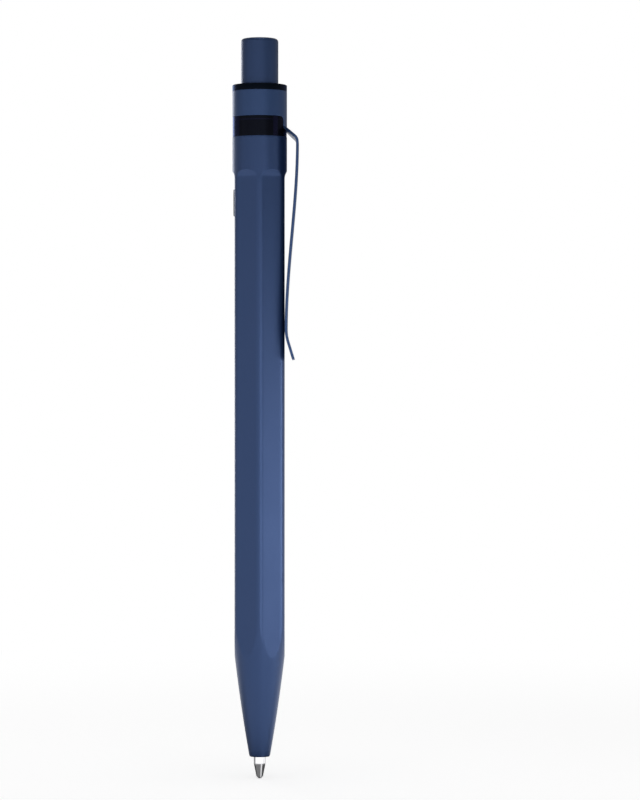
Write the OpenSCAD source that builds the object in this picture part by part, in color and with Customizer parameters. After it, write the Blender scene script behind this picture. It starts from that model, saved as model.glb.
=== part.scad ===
// Retractable ballpoint pen: hexagonal barrel, round collar, steel clip on a ring,
// smoked guide sleeve and a push button that works a toothed indexing mechanism.
// Z runs along the pen, from the writing point at the origin up to the button.
// The clip is on the +X side. The pen is drawn with its point out, ready to write.

/* [Barrel] */
// Length of the barrel moulding, from the nose's end to the seat of the window band
barrel_len = 117.9; // [108:0.1:130]
// Width of the hexagon across its flats
hex_af = 9.5; // [9.4:0.1:9.9]
// Radius of the hexagon's rounded corners
hex_corner_r = 1.6; // [0.8:0.1:2.2]
// Height of the round collar above the flats
collar_h = 8.1; // [7.6:0.1:14]
// Radius of the concave run-out at the top of each flat
runout_r = 2.8; // [1.6:0.1:4]
// Length of the tapered nose
nose_len = 22.1; // [19:0.1:28]
// Diameter of the nose at its end
nose_d = 3.9; // [3.6:0.1:4.6]
// How far the nose bows out from a straight cone
nose_bow = 0.2; // [0:0.05:0.5]
// Length over which the hexagon's corners bend into the nose
nose_blend = 3; // [1.5:0.1:5]
// Depth of the spring's seat above the nose's end
seat_depth = 8.8; // [8:0.1:11]
// Length of the narrow bore that guides the tip
nose_bore_len = 2.6; // [1.5:0.1:3.5]

/* [Top] */
// Diameter of the collar, the window band, the clip ring and the rim
collar_d = 10.4; // [10.3:0.1:11.6]
// Height of the window band
window_h = 3.8; // [3.4:0.1:6]
// How far the window band lies below the collar and the ring
window_inset = 0.05; // [0.03:0.01:0.2]
// Height of the clip ring
ring_h = 4.9; // [3.5:0.1:8]
// Thickness of the clip ring
ring_t = 0.5; // [0.4:0.05:0.6]
// Height of the rim above the clip ring
rim_h = 1.2; // [0.8:0.1:2]
// Depth that the rim's spigot reaches into the sleeve
spigot_h = 1.5; // [0.8:0.1:2.4]
// Wall of the rim's spigot
spigot_t = 0.45; // [0.35:0.05:0.5]
// Edge bevel of the ring, the rim and the barrel's mouth
edge = 0.12; // [0.05:0.01:0.2]

/* [Clip] */
// Width of the clip's blade
clip_w = 8.3; // [6:0.1:9]
// Width of the neck between the ring and the blade
neck_w = 4.75; // [3.5:0.05:5.4]
// Radius where the neck meets the ring
neck_fillet = 1; // [0.5:0.1:1.2]
// Thickness of the blade
clip_t = 0.5; // [0.4:0.05:0.7]
// Height of the clip's root above the window band's seat
root_h = 1.35; // [1.2:0.05:1.8]
// Slope of the arm that carries the blade out from the neck, in degrees
arm_angle = 42; // [35:1:50]
// Reach of the blade's centre line from the pen's axis at its furthest
clip_reach = 7.2; // [6.8:0.1:9]
// Radius of the bend at the clip's shoulder
shoulder_r = 1.3; // [0.8:0.1:1.6]
// Distance from the window band's seat down to the point that grips
grip_depth = 36.6; // [25:0.1:45]
// Length of the lip below the gripping point
lip_len = 5.8; // [3:0.1:8]
// Angle of the lip, in degrees
lip_angle = 17; // [10:1:25]
// Radius of the blade's bottom corners
clip_corner_r = 1.25; // [0.5:0.05:2]
// Height over which the shoulders widen from the neck to the blade
flare_h = 2.6; // [2.3:0.1:4]
// Gap between the gripping point and the barrel at rest
grip_gap = 0.06; // [0.04:0.01:0.3]
// Gap between the blade's root and the neck it hinges on
root_gap = 0.04; // [0.03:0.01:0.08]

/* [Button and mechanism] */
// Diameter of the push button
button_d = 7.1; // [7:0.1:7.3]
// Height of the button above the rim with the point out
button_h = 8.85; // [4:0.05:14]
// Radius of the button's top edge
button_edge_r = 0.3; // [0.1:0.05:0.6]
// How much thinner the button's skirt is than its head
skirt_relief = 0.05; // [0.02:0.01:0.15]
// Height of the head's lower edge above the rim
head_lift = 0.3; // [0.2:0.05:1.5]
// Thickness of the button's top
button_top_t = 1.7; // [1:0.1:3]
// Length of the crown's stem inside the button
stem_grip = 7.4; // [5:0.1:9]
// Travel from writing to retracted
travel_up = 5.5; // [4.5:0.1:5.9]
// Travel past the writing position that frees the rotor's fins
travel_down = 1.5; // [1.3:0.1:2]
// Depth of the crown's stop below the window band's seat
stop_depth = 5.9; // [5.5:0.1:7]
// Thickness of the stop
stop_t = 1.5; // [1.2:0.1:1.7]
// Radius of the crown's tube
crown_r = 2.65; // [2.5:0.05:2.7]
// Wall of the crown's tube
crown_t = 1; // [0.8:0.05:1.1]
// Distance from the top of the crown's lugs down to the rotor's fins
crown_h = 4.9; // [4.6:0.1:6]
// Height of the crown's lugs
lug_h = 2.6; // [1.5:0.1:3]
// Radius to the outside of the fins and lugs
fin_r = 3.25; // [3.15:0.05:3.3]
// Width of a fin
fin_w = 1.5; // [1.2:0.05:1.6]
// Height of a fin below its slanted face
fin_h = 3.4; // [2:0.1:4]
// Slope of the fins, the crown's teeth and the ribs' cam faces, in degrees
cam_angle = 40; // [32:1:44]
// Height of the wall that stops a latched fin
latch_h = 1.1; // [0.9:0.05:1.2]
// Thickness of the rotor's foot
foot_h = 1; // [0.6:0.1:1.4]
// Length of the guide sleeve below the cam faces
skirt_h = 6; // [5:0.1:7]
// Wall of the guide sleeve round the fins
sleeve_t = 0.7; // [0.6:0.05:0.7]

/* [Refill] */
// Diameter of the writing ball
ball_d = 1; // [0.7:0.1:1]
// How far the tip stands out of the nose
tip_reach = 4.2; // [3:0.1:4.8]
// Diameter of the tip
tip_d = 2.2; // [2:0.05:2.3]
// Height of the tip's cone
cone_h = 2.3; // [1.8:0.1:2.6]
// Length of the tip inside its holder
tip_hold = 3.5; // [2:0.1:5]
// Radius of the tip holder's front part
holder_r = 1.7; // [1.6:0.05:1.8]
// Radius of the ink channel
channel_r = 0.45; // [0.3:0.05:0.6]
// Radius of the refill
refill_r = 2.95; // [2.9:0.05:3]
// Wall of the ink tube
tube_t = 0.45; // [0.3:0.05:0.6]
// Length of the plug at the refill's rear end
plug_h = 2.1; // [1.5:0.1:4]
// Share of the tube that is filled with ink
ink_share = 0.85; // [0.1:0.05:1]
// Length of the grease follower
grease_len = 4; // [2:0.1:8]

/* [Return spring] */
// Diameter of the spring's wire
wire_d = 0.4; // [0.3:0.05:0.5]
// Length of the spring with the point out
spring_len = 17; // [14:0.1:20]
// Number of coils
coils = 11; // [8:1:14]

/* [Back pad] */
// Height of the plain pad on the back flat
pad_h = 5.1; // [3:0.1:8]
// Width of the pad
pad_w = 2.4; // [1.5:0.1:3.2]
// Thickness of the pad
pad_t = 0.22; // [0.15:0.01:0.4]
// Distance from the collar's foot down to the pad's middle
pad_depth = 4.4; // [4.1:0.1:20]

/* [Hidden] */
$fn = 96;

// Radial gap of a part that slides, of parts that are pressed or moulded to fit,
// and the end gap that keeps two moving faces apart
slide_gap = 0.08;
fit_gap = 0.03;
end_gap = 0.1;
// Radial room round the tip holder, round its shoulder and on each side of the spring
holder_gap = 0.15;
refill_gap = 0.35;
spring_gap = 0.25;
// Room for the shoulder below its lowest position
shoulder_room = 4;
// How far a cutting shape runs past the face it cuts
over = 1;
// Sides and steps
sectors = 4;
tooth_count = 2*sectors;
nose_steps = 12;
blend_steps = 5;
arc_steps = 6;
blade_steps = 18;
rings_per_coil = 8;
wire_sides = 6;

// Heights of the outer parts
z_nose = tip_reach;
z_seat_face = z_nose + barrel_len;
z_collar = z_seat_face - collar_h;
z_ring = z_seat_face + window_h;
z_rim = z_ring + ring_h;
z_rim_top = z_rim + rim_h;
z_top = z_rim_top + button_h;
z_ogive = z_nose + nose_len;
z_blend = z_ogive + nose_blend;

// Heights of the mechanism, which hangs from the window band's seat
z_stop = z_seat_face - stop_depth;
z_stop_top = z_stop + stop_t;
z_lug_top = z_stop - travel_up - end_gap;
z_cam = z_lug_top - crown_h;
z_sleeve = z_cam - skirt_h;
z_button = z_stop_top + travel_down + end_gap;
z_stem_top = z_button + stem_grip;

// Radii
collar_r = collar_d/2;
corner_dist = (hex_af/2 - hex_corner_r)/cos(30) + hex_corner_r;
nose_r = nose_d/2;
blend_r = corner_dist + fit_gap/3;
blend_k = nose_blend/(2*nose_len);
ogive_r = (blend_r + blend_k*(nose_r + 4*nose_bow))/(1 + blend_k);
ogive_slope = (ogive_r - nose_r - 4*nose_bow)/nose_len;
nose_edge_r = 0.25;
tip_r = tip_d/2;
rib_r = crown_r + slide_gap;
groove_r = fin_r + slide_gap;
groove_w = fin_w + 4*slide_gap;
rib_half = groove_r*sin(180/sectors - asin(groove_w/2/groove_r));
sleeve_r = groove_r + sleeve_t;
shank_t = 0.7;
button_r = button_d/2;
guide_r = button_r + slide_gap;
shank_r = guide_r + shank_t;
ring_in_r = collar_r - ring_t;
head_r = ring_in_r - fit_gap;
window_r = collar_r - window_inset;
spring_r = holder_r + spring_gap + wire_d/2;
spring_bore_r = spring_r + wire_d/2 + spring_gap;
main_r = refill_r + refill_gap;
tube_in_r = refill_r - tube_t;

// Cam faces: height of the slanted faces t millimetres across from a fin's middle
cam_slope = tan(cam_angle);
function fin_face(t) = z_cam + cam_slope*t;
// The crown's valleys stand this far round from the fins
valley_angle = 30;
z_valley = z_cam + 2*cam_slope*crown_r*sin(valley_angle/2) + end_gap/2;

// Heights of the refill, which ends under the rotor's foot; with the button up the
// foot stays below the ribs' lowest edge
z_foot = z_cam - cam_slope*rib_half - travel_up - foot_h;
refill_len = z_foot - end_gap/2;
z_spring = z_nose + seat_depth;
z_shoulder = z_spring + spring_len;
z_main = z_shoulder - travel_down - shoulder_room;
z_chamber = z_nose + nose_bore_len;
z_holder = z_chamber + travel_down + 2*end_gap;
flange_h = 1.2;
z_tube = z_shoulder + flange_h;
holder_plug_h = 2.8;
plug_grip = 3;
z_plug = refill_len - plug_h;
z_ink = z_tube + holder_plug_h;
tube_end_air = 1;
ink_len = ink_share*(z_plug - plug_grip - z_ink - grease_len - tube_end_air);
z_grease = z_ink + ink_len;
z_cone = ball_d/2 + cone_h;

// Points on an arc about a centre, from one angle to another; a first step of 1
// leaves out the point that the line before already has
function arc(cx, cy, r, a0, a1, n = arc_steps, first = 0) =
    [for (i = [first:n]) let (a = a0 + (a1 - a0)*i/n) [cx + r*cos(a), cy + r*sin(a)]];

// Radius of the nose at a share t of its length, bowed like a long shallow arc
function nose_radius(t) = nose_r + (ogive_r - nose_r)*t + 4*nose_bow*t*(1 - t);
// Radius where the corners bend into the nose, at a share t of the blend
function blend_radius(t) = ogive_r + ogive_slope*nose_blend*(t - t*t/2);

// Outer profile of the barrel, which trims the hexagon
function barrel_profile() = concat(
    [[0, z_nose]],
    arc(nose_r - nose_edge_r, z_nose + nose_edge_r, nose_edge_r, -90, -8, 4),
    [for (i = [1:nose_steps]) let (t = i/nose_steps) [nose_radius(t), z_nose + nose_len*t]],
    [for (i = [1:blend_steps]) let (t = i/blend_steps) [blend_radius(t), z_ogive + nose_blend*t]],
    [
        [blend_r + over, z_blend], [blend_r + over, z_seat_face - (blend_r + over - collar_r + edge)],
        [collar_r - edge, z_seat_face], [0, z_seat_face]
    ]);

// Hexagon with round corners and a flat towards the clip
module rounded_hexagon() {
    corner_at = corner_dist - hex_corner_r;
    corners = [for (i = [0:5]) 30 + 60*i];
    for (a = corners) rotate(a) translate([corner_at, 0]) circle(r = hex_corner_r);
    polygon([for (a = corners) for (s = [-30, 30])
        corner_at*[cos(a), sin(a)] + hex_corner_r*[cos(a + s), sin(a + s)]]);
}

// Two opposite flats that curve out to the collar's full width
module runout_slab() {
    slab_h = collar_h + over;
    rotate([90, 0, 0]) translate([0, 0, -collar_r - over]) linear_extrude(2*(collar_r + over))
        difference() {
            translate([-collar_r - over, z_collar]) square([2*(collar_r + over), slab_h]);
            for (s = [-1, 1]) translate([s*(hex_af/2 + runout_r), z_collar]) circle(r = runout_r);
        }
}

// Bore of the barrel, from the tip's guide up to the mouth
module barrel_bore() {
    sleeve_bore_r = sleeve_r + fit_gap;
    shank_bore_r = shank_r + fit_gap;
    rotate_extrude() polygon([
        [0, z_nose - over], [tip_r + slide_gap, z_nose - over],
        [tip_r + slide_gap, z_chamber], [holder_r + holder_gap, z_chamber],
        [holder_r + holder_gap, z_spring], [spring_bore_r, z_spring],
        [spring_bore_r, z_main - (main_r - spring_bore_r)], [main_r, z_main],
        [main_r, z_sleeve - end_gap], [sleeve_bore_r, z_sleeve - end_gap],
        [sleeve_bore_r, z_stop - end_gap], [shank_bore_r, z_stop - end_gap],
        [shank_bore_r, z_seat_face + over], [0, z_seat_face + over]
    ]);
}

module barrel() {
    color([0.17, 0.24, 0.42]) difference() {
        intersection() {
            rotate_extrude() polygon(barrel_profile());
            union() {
                linear_extrude(z_collar) rounded_hexagon();
                intersection() {
                    translate([0, 0, z_collar]) cylinder(h = collar_h + over, r = collar_r);
                    runout_slab();
                    rotate(60) runout_slab();
                    rotate(120) runout_slab();
                }
            }
        }
        barrel_bore();
    }
}

// Plain pad on the flat opposite the clip
module rear_pad() {
    z_pad = z_collar - pad_depth;
    color([0.12, 0.14, 0.2]) translate([-hex_af/2 - pad_t, 0, z_pad]) rotate([0, 90, 0])
        linear_extrude(pad_t) {
            square([pad_h - pad_w, pad_w], center = true);
            for (s = [-1, 1]) translate([s*(pad_h - pad_w)/2, 0]) circle(d = pad_w);
        }
}

// Outline of the clip's neck as seen from the clip's side, widened by grow
module neck_outline(grow = 0) {
    z_end = z_seat_face + root_h - clip_t - grow;
    half = neck_w/2 + grow;
    r = neck_fillet - grow;
    polygon(concat(
        [[-half, z_end], [half, z_end]],
        arc(half + r, z_ring - r + grow, r, 180, 90),
        [[half + r, z_ring + over], [-half - r, z_ring + over]],
        arc(-half - r, z_ring - r + grow, r, 90, 0)));
}

module along_x(length) {
    rotate([90, 0, 90]) linear_extrude(length) children();
}

// Saw-toothed face below one rib: a ramp up to the latch wall, then a second ramp
// that leads into the next groove
module rib_cam() {
    reach = 1.8;
    wall_t = fin_w/2 + slide_gap;
    lift = end_gap/2;
    z_low = z_cam - 2*over;
    along_x(groove_r) polygon([
        [-reach, z_low], [reach, z_low], [reach, fin_face(reach) + lift - latch_h],
        [wall_t, fin_face(wall_t) + lift - latch_h], [wall_t, fin_face(wall_t) + lift],
        [-reach, fin_face(-reach) + lift]
    ]);
}

// What the sleeve is cut with from below: the round skirt, the grooves and the cams
module guide_cut() {
    z_skirt = z_cam - 2*over + end_gap;
    intersection() {
        translate([0, 0, z_sleeve - over]) cylinder(h = z_stop - z_sleeve + over, r = groove_r);
        union() {
            translate([0, 0, z_sleeve - over]) cylinder(h = z_skirt - z_sleeve + over, r = groove_r);
            for (i = [0:sectors - 1]) rotate(360*i/sectors) {
                translate([0, -groove_w/2, z_sleeve - over])
                    cube([groove_r + over, groove_w, z_stop - z_sleeve + over]);
                rotate(180/sectors) rib_cam();
            }
        }
    }
}

module guide_sleeve() {
    z_mouth = z_rim - spigot_h - end_gap;
    mouth_r = guide_r + spigot_t + fit_gap;
    color([0.05, 0.05, 0.07]) difference() {
        rotate_extrude() polygon([
            [rib_r, z_sleeve], [sleeve_r, z_sleeve], [sleeve_r, z_stop], [shank_r, z_stop],
            [shank_r, z_seat_face], [window_r, z_seat_face], [window_r, z_ring],
            [head_r, z_ring], [head_r, z_rim], [mouth_r, z_rim],
            [mouth_r, z_mouth], [guide_r, z_mouth], [guide_r, z_stop_top], [rib_r, z_stop_top]
        ]);
        guide_cut();
        intersection() {
            difference() {
                cylinder(h = z_rim, r = collar_r + over);
                cylinder(h = z_rim, r = head_r);
            }
            along_x(collar_r + over) neck_outline(fit_gap);
        }
    }
}

// Rim that closes the sleeve's mouth, holds the clip ring down and guides the button
module top_bush() {
    color([0.04, 0.04, 0.05]) rotate_extrude() polygon([
        [guide_r, z_rim - spigot_h], [guide_r + spigot_t, z_rim - spigot_h],
        [guide_r + spigot_t, z_rim], [collar_r, z_rim], [collar_r, z_rim_top - edge],
        [collar_r - edge, z_rim_top], [guide_r + edge, z_rim_top], [guide_r, z_rim_top - edge]
    ]);
}

module clip_ring() {
    z_end = z_seat_face + root_h - clip_t;
    color([0.19, 0.27, 0.44]) intersection() {
        rotate_extrude() polygon([
            [ring_in_r, z_end], [collar_r, z_end], [collar_r, z_rim - edge],
            [collar_r - edge, z_rim], [ring_in_r, z_rim]
        ]);
        union() {
            translate([0, 0, z_ring]) cylinder(h = ring_h, r = collar_r + over);
            along_x(collar_r + over) neck_outline();
        }
    }
}

// Centre line of the clip in the X-Z plane: arm, shoulder, long S-curve and lip
z_root = z_seat_face + root_h;
z_grip = z_seat_face - grip_depth;
x_grip = hex_af/2 + grip_gap + clip_t/2;
shoulder_x = clip_reach - shoulder_r;
arm_end_x = shoulder_x + shoulder_r*sin(arm_angle);
arm_start_x = ring_in_r;
z_shoulder_arc = z_root - (arm_end_x - collar_r)*tan(arm_angle) - shoulder_r*cos(arm_angle);
lip_r = 8;
flare_rise = 1.2;
lip_start = lip_r*sin(lip_angle);
function blade_x(u) = x_grip + (clip_reach - x_grip)*(3*u*u - 2*u*u*u);
function clip_line() = concat(
    [[arm_start_x, z_root + (collar_r - arm_start_x)*tan(arm_angle)]],
    arc(shoulder_x, z_shoulder_arc, shoulder_r, 90 - arm_angle, 0, 5),
    [for (i = [1:blade_steps]) let (u = 1 - i/blade_steps)
        [blade_x(u), z_grip + (z_shoulder_arc - z_grip)*u]],
    [for (i = [1:4]) let (a = lip_angle*i/4)
        [x_grip + lip_r*(1 - cos(a)), z_grip - lip_r*sin(a)]],
    [[x_grip + lip_r*(1 - cos(lip_angle)) + (lip_len - lip_start)*tan(lip_angle), z_grip - lip_len]]);

// Direction of the line at point i, and the line moved sideways by d
function line_dir(p, i) =
    let (a = p[max(i - 1, 0)], b = p[min(i + 1, len(p) - 1)], v = b - a) v/norm(v);
function offset_line(p, d) =
    [for (i = [0:len(p) - 1]) let (v = line_dir(p, i)) p[i] + d*[-v[1], v[0]]];
function reversed(p) = [for (i = [len(p) - 1:-1:0]) p[i]];

// Front view of the blade: neck, S-shaped shoulders, straight sides, round corners
module blade_outline() {
    half = clip_w/2;
    neck = neck_w/2;
    z_bottom = z_grip - lip_len - over;
    z_corner = z_grip - lip_len;
    widen = half - neck;
    z_wide = z_root + flare_rise - flare_h;
    flare_r = (widen*widen + flare_h*flare_h)/(4*widen);
    turn = 2*atan(widen/flare_h);
    right = concat(
        arc(half - clip_corner_r, z_corner + clip_corner_r, clip_corner_r, -90, 0),
        arc(half - flare_r, z_wide, flare_r, 0, turn),
        arc(neck + flare_r, z_wide + flare_h, flare_r, 180 + turn, 180, first = 1),
        [[neck, z_root + 2*over]]);
    polygon(concat(right, reversed([for (p = right) [-p[0], p[1]]])));
}

module clip_blade() {
    line = clip_line();
    color([0.22, 0.31, 0.49]) difference() {
        intersection() {
            translate([0, clip_w, 0]) rotate([90, 0, 0]) linear_extrude(2*clip_w)
                polygon(concat(offset_line(line, clip_t/2), reversed(offset_line(line, -clip_t/2))));
            along_x(clip_reach + 3*over) blade_outline();
        }
        translate([0, 0, z_seat_face]) cylinder(h = window_h + over, r = collar_r + root_gap);
    }
}

// Cap with a thinner skirt below its head, which starts just above the rim
module push_button() {
    skirt_r = button_r - skirt_relief;
    z_head = z_rim_top + head_lift;
    color([0.15, 0.2, 0.33]) rotate_extrude() polygon(concat(
        [
            [crown_r, z_button], [skirt_r - edge, z_button], [skirt_r, z_button + edge],
            [skirt_r, z_head - skirt_relief], [button_r, z_head]
        ],
        arc(button_r - button_edge_r, z_top - button_edge_r, button_edge_r, 0, 90),
        [[0, z_top], [0, z_top - button_top_t], [crown_r, z_top - button_top_t]]));
}

// Lugs and fins run in the sleeve's grooves: a block across the axis, cut round
module spokes(width, z0, z1) {
    intersection() {
        translate([0, 0, z0]) cylinder(h = z1 - z0, r = fin_r);
        for (a = [0:360/sectors:179]) rotate(a)
            translate([-fin_r - over, -width/2, z0]) cube([2*(fin_r + over), width, z1 - z0]);
    }
}

// Tube with a crown of V-shaped teeth below and four lugs; its stem holds the button
module thrust_crown() {
    z_tip = z_valley - cam_slope*crown_r*sin(180/tooth_count);
    reach = crown_r*tan(180/tooth_count);
    color([0.86, 0.86, 0.82]) difference() {
        union() {
            translate([0, 0, z_tip]) cylinder(h = z_stem_top - z_tip, r = crown_r);
            spokes(fin_w, z_lug_top - lug_h, z_lug_top);
        }
        translate([0, 0, z_tip - over])
            cylinder(h = z_stem_top - z_tip + 2*over, r = crown_r - crown_t);
        for (i = [0:tooth_count - 1]) rotate(valley_angle + 360*i/tooth_count)
            along_x(crown_r + over) polygon([
                [0, z_valley], [-reach, z_valley - cam_slope*reach], [-reach, z_tip - over],
                [reach, z_tip - over], [reach, z_valley - cam_slope*reach]
            ]);
    }
}

// Indexing cam: four slanted fins on a stepped core that pushes the refill
module rotor() {
    core_r = crown_r - end_gap/2;
    nose_tip_r = crown_r - crown_t - slide_gap;
    nose_tip_h = 2;
    z_core = z_cam - cam_slope*crown_r*sin(180/tooth_count) + end_gap;
    z_nose_tip = z_valley + nose_tip_h;
    well_r = 1;
    well_h = 5;
    color([0.8, 0.16, 0.14]) difference() {
        union() {
            translate([0, 0, z_foot]) cylinder(h = z_core - z_foot, r = core_r);
            translate([0, 0, z_foot]) cylinder(h = foot_h, r = refill_r);
            translate([0, 0, z_core - over]) cylinder(h = z_nose_tip - z_core + over, r = nose_tip_r);
            intersection() {
                translate([0, 0, z_cam - fin_h]) cylinder(h = fin_h + 2*over, r = fin_r);
                for (i = [0:sectors - 1]) rotate(360*i/sectors) along_x(fin_r + over) polygon([
                    [-fin_w/2, z_cam - fin_h], [fin_w/2, z_cam - fin_h],
                    [fin_w/2, fin_face(fin_w/2)], [-fin_w/2, fin_face(-fin_w/2)]
                ]);
            }
        }
        translate([0, 0, z_foot - over]) cylinder(h = well_h + over, r = well_r);
    }
}

// Plug that closes the refill's rear end, with an air vent and a cross of slots
module refill_plug() {
    slot_w = 0.8;
    slot_h = 0.9;
    vent_r = 0.4;
    color([0.9, 0.9, 0.88]) difference() {
        union() {
            translate([0, 0, z_plug]) cylinder(h = plug_h, r = refill_r);
            translate([0, 0, z_plug - plug_grip]) cylinder(h = plug_grip, r = tube_in_r);
        }
        translate([0, 0, z_plug - plug_grip - over])
            cylinder(h = plug_h + plug_grip + 2*over, r = vent_r);
        for (a = [0, 90]) rotate(a) translate([-refill_r - over, -slot_w/2, refill_len - slot_h])
            cube([2*(refill_r + over), slot_w, slot_h + over]);
    }
}

module refill_tube() {
    color([0.82, 0.84, 0.86]) difference() {
        translate([0, 0, z_tube]) cylinder(h = z_plug - z_tube, r = refill_r);
        translate([0, 0, z_tube - over]) cylinder(h = z_plug - z_tube + 2*over, r = tube_in_r);
    }
}

module ink_column() {
    color([0.05, 0.08, 0.3]) translate([0, 0, z_ink]) cylinder(h = ink_len, r = tube_in_r);
}

module grease_follower() {
    dish_h = 0.4;
    dish_r = 0.4;
    brim = 0.2;
    color([0.75, 0.72, 0.5]) difference() {
        translate([0, 0, z_grease]) cylinder(h = grease_len, r = tube_in_r);
        translate([0, 0, z_grease + grease_len - dish_h])
            cylinder(h = dish_h + over, r1 = dish_r, r2 = tube_in_r + brim);
    }
}

// Moulded holder between the metal tip and the ink tube, with the spring's shoulder
module tip_holder() {
    lead = 0.5;
    lead_r = holder_r - 0.3;
    color([0.88, 0.88, 0.86]) rotate_extrude() polygon([
        [tip_r, z_holder], [lead_r, z_holder], [holder_r, z_holder + lead],
        [holder_r, z_shoulder], [refill_r, z_shoulder], [refill_r, z_tube],
        [tube_in_r, z_tube], [tube_in_r, z_ink], [channel_r, z_ink],
        [channel_r, z_holder + tip_hold], [tip_r, z_holder + tip_hold]
    ]);
}

// Metal tip with the socket that the ball turns in
module point_cone() {
    socket_gap = 0.02;
    socket_r = ball_d/2 + socket_gap;
    // The socket's lip closes this far below the ball's middle, its roof ends this far above
    lip_turn = 18;
    roof_turn = 65;
    lip_r = socket_r*cos(lip_turn);
    z_lip = ball_d/2 - socket_r*sin(lip_turn);
    rim = 0.09;
    swell = 0.22;
    feed_r = 0.18;
    feed_h = 0.8;
    z_tip_end = z_holder + tip_hold;
    color([0.8, 0.8, 0.82]) rotate_extrude() polygon(concat(
        arc(0, ball_d/2, socket_r, -lip_turn, roof_turn, 10),
        [
            [feed_r, z_cone - feed_h], [channel_r, z_cone], [channel_r, z_tip_end],
            [tip_r, z_tip_end], [tip_r, z_cone]
        ],
        [for (i = [1:4]) let (t = 1 - i/4)
            [
                lip_r + rim + (tip_r - lip_r - rim)*(t + swell*t*(1 - t)),
                z_lip + (z_cone - z_lip)*t
            ]]));
}

module writing_ball() {
    color([0.7, 0.7, 0.72]) translate([0, 0, ball_d/2]) sphere(r = ball_d/2);
}

// Points of the spring's wire, ring by ring along the helix
spring_h = spring_len - wire_d - 2*end_gap;
spring_pitch = spring_h/coils;
wire_tilt = atan(spring_pitch/(2*PI*spring_r));
function wire_ring(i) = let (a = 360*i/rings_per_coil, z = spring_pitch*i/rings_per_coil)
    [for (j = [0:wire_sides - 1]) let (b = 360*j/wire_sides, u = wire_d/2*cos(b), v = wire_d/2*sin(b))
        [
            (spring_r + u)*cos(a) + v*sin(wire_tilt)*sin(a),
            (spring_r + u)*sin(a) - v*sin(wire_tilt)*cos(a),
            z + v*cos(wire_tilt)
        ]];

module return_spring() {
    last = coils*rings_per_coil;
    points = [for (i = [0:last]) each wire_ring(i)];
    sides = [for (i = [0:last - 1]) for (j = [0:wire_sides - 1])
        let (k = (j + 1)%wire_sides, a = i*wire_sides, b = a + wire_sides)
        each [[a + j, a + k, b + k], [a + j, b + k, b + j]]];
    far = last*wire_sides;
    ends = [for (j = [1:wire_sides - 2]) each [[0, j + 1, j], [far, far + j, far + j + 1]]];
    gap = min([for (i = [0:rings_per_coil]) for (p = wire_ring(i)) for (q = wire_ring(i + rings_per_coil))
        norm(p - q)]);
    echo(spring_gap_to_itself = gap);
    color([0.75, 0.75, 0.78]) translate([0, 0, z_spring + wire_d/2 + end_gap])
        polyhedron(points = points, faces = concat(sides, ends));
}

barrel();
rear_pad();
guide_sleeve();
top_bush();
clip_ring();
clip_blade();
push_button();
thrust_crown();
rotor();
refill_plug();
refill_tube();
grease_follower();
ink_column();
tip_holder();
point_cone();
writing_ball();
return_spring();
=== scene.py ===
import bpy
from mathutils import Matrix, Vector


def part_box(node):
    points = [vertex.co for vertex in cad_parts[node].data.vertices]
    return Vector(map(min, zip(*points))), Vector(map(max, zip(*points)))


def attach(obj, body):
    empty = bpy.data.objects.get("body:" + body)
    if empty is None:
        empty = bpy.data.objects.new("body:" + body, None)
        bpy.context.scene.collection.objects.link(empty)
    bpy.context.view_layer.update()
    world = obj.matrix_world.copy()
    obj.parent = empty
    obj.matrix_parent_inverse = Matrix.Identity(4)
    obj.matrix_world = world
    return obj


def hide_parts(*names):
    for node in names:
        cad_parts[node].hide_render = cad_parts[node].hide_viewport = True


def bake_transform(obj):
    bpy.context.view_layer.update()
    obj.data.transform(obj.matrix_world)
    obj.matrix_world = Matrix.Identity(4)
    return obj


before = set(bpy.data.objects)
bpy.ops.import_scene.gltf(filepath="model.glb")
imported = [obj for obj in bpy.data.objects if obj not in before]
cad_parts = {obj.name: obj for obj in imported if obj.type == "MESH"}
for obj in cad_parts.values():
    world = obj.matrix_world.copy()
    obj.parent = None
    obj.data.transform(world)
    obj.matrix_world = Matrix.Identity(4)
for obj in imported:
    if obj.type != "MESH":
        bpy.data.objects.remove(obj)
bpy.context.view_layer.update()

import math

import bpy
from bpy.props import FloatProperty, FloatVectorProperty, PointerProperty

bl_info = {
    "name": "Ballpoint Pen",
    "version": (1, 0, 0),
    "blender": (4, 5, 0),
    "location": "View3D > Sidebar > Pen",
    "description": "Models and finishes a retractable ballpoint pen with a hexagonal barrel",
    "category": "Object",
}

MM = 0.001
CLOSE = 1e-6
TURN_STEPS = 144
NOSE_ROWS = 18
BLEND_ROWS = 40
TOP_BODY = "pen_body"
ARM_SLOPE = math.radians(42)
CAM_SLOPE = math.radians(40)
WHITE = (1, 1, 1, 1)


# Heights along the pen's axis, most of them from the nodes' own boxes

def low(node):
    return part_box(node)[0].z


def high(node):
    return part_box(node)[1].z


Z_NOSE = low("barrel")
Z_BLEND = Z_NOSE + 26 * MM
Z_SEAT = high("barrel")
Z_RING = Z_SEAT + 3.8 * MM
Z_RIM = low("top_bush") + 1.5 * MM
Z_RIM_TOP = high("top_bush")
Z_BUTTON = low("push_button")
Z_TOP = high("push_button")
Z_SLEEVE = low("guide_sleeve")
Z_STOP = Z_SEAT - 5.9 * MM
Z_ROOT = Z_SEAT + 1.35 * MM
Z_GRIP = 85.5 * MM
Z_LIP = Z_GRIP - 5.8 * MM


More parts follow.
